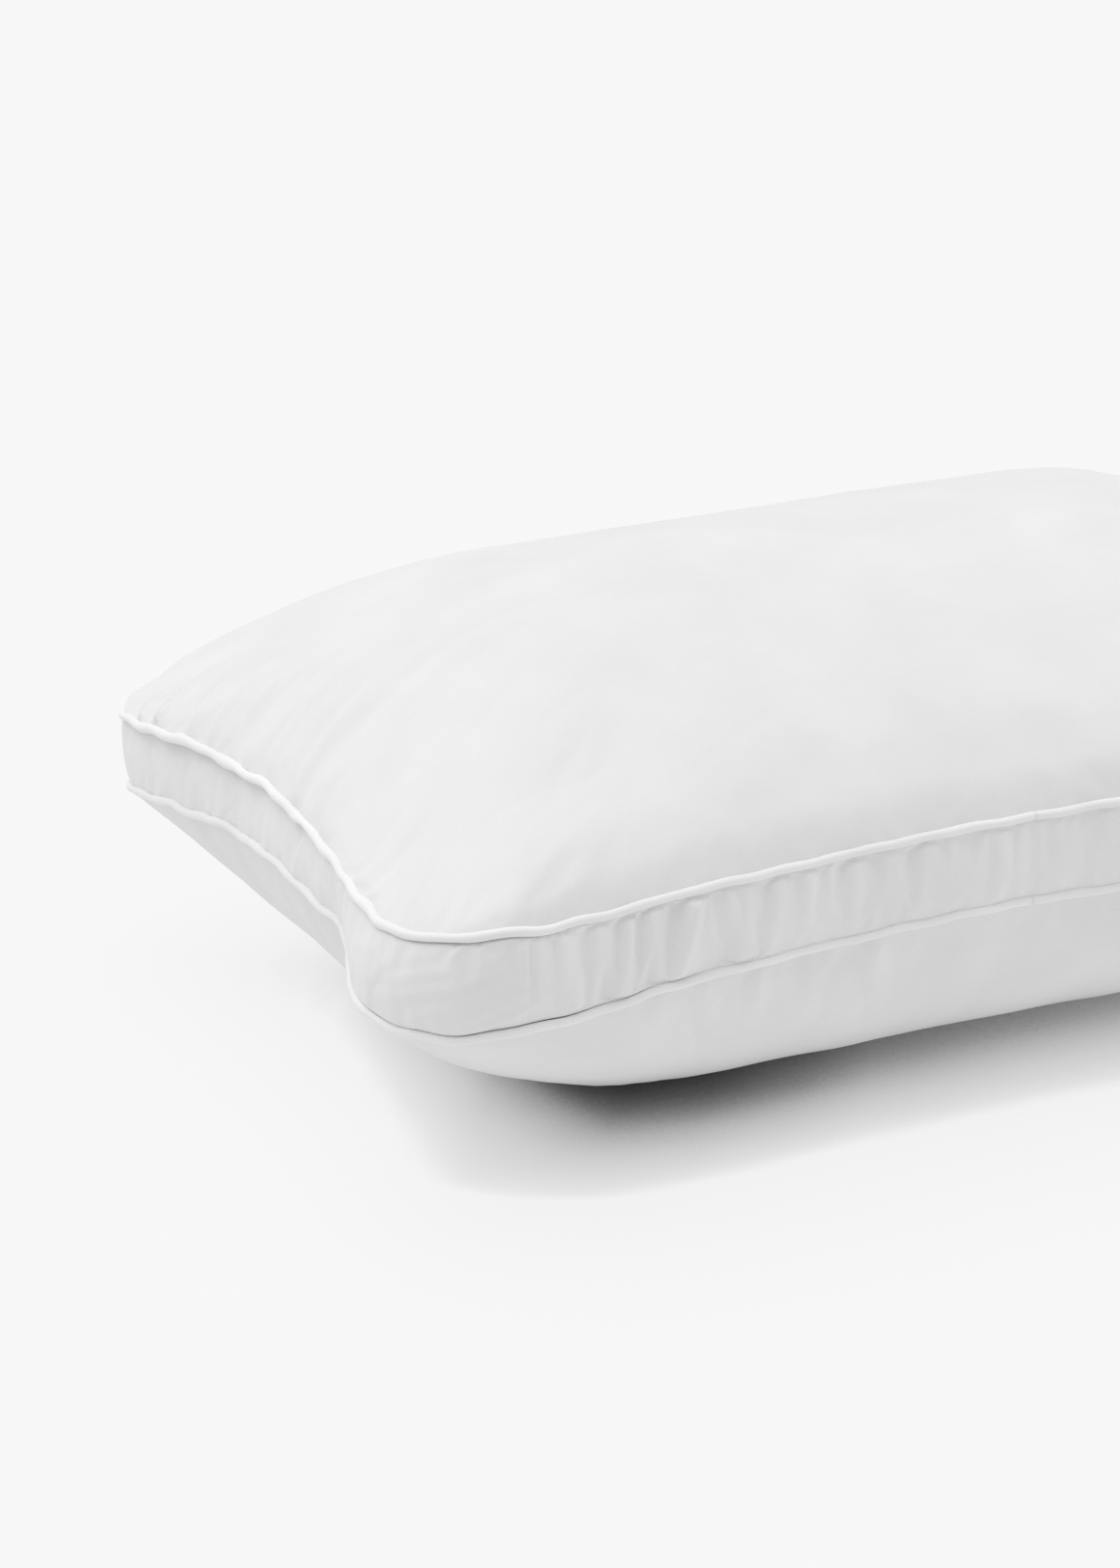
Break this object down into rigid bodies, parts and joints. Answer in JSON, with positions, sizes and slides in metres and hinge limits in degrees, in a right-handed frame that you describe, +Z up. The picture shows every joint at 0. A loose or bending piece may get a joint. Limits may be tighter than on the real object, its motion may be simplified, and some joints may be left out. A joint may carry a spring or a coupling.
{
  "type": "bed pillow",
  "caption": "Plump rectangular bed pillow with a gusseted side band and corded piping along both seams, filled with polyester fibre.",
  "frame": {"origin": "under the middle of the pillow, on the surface that it lies on", "axes": "+X along the long side, +Y from the front long side to the back one, +Z up"},
  "size_m": [0.6846, 0.4598, 0.252],
  "materials": {
    "panel_cotton": "white plain-weave cotton, matt with a faint sheen",
    "gusset_cotton": "white plain-weave cotton, matt, puckered along the seams",
    "piping_tape": "white bias-cut cotton tape, matt",
    "piping_cord": "undyed twisted cotton cord",
    "sewing_thread": "white spun polyester thread",
    "label_tape": "white satin-weave label tape, blank",
    "polyester_fibre": "white siliconised hollow fibre"
  },
  "bodies": {
    "root": {"top_panel": "panel_cotton", "bottom_panel": "panel_cotton", "gusset_front": "gusset_cotton", "gusset_back": "gusset_cotton", "top_piping_cover": "piping_tape", "bottom_piping_cover": "piping_tape", "top_piping_cord": "piping_cord", "bottom_piping_cord": "piping_cord", "top_seam_thread": "sewing_thread", "bottom_seam_thread": "sewing_thread", "gusset_join_thread_left": "sewing_thread", "gusset_join_thread_right": "sewing_thread", "closing_thread": "sewing_thread", "care_label": "label_tape", "fibre_fill": "polyester_fibre"}
  },
  "joints": []
}
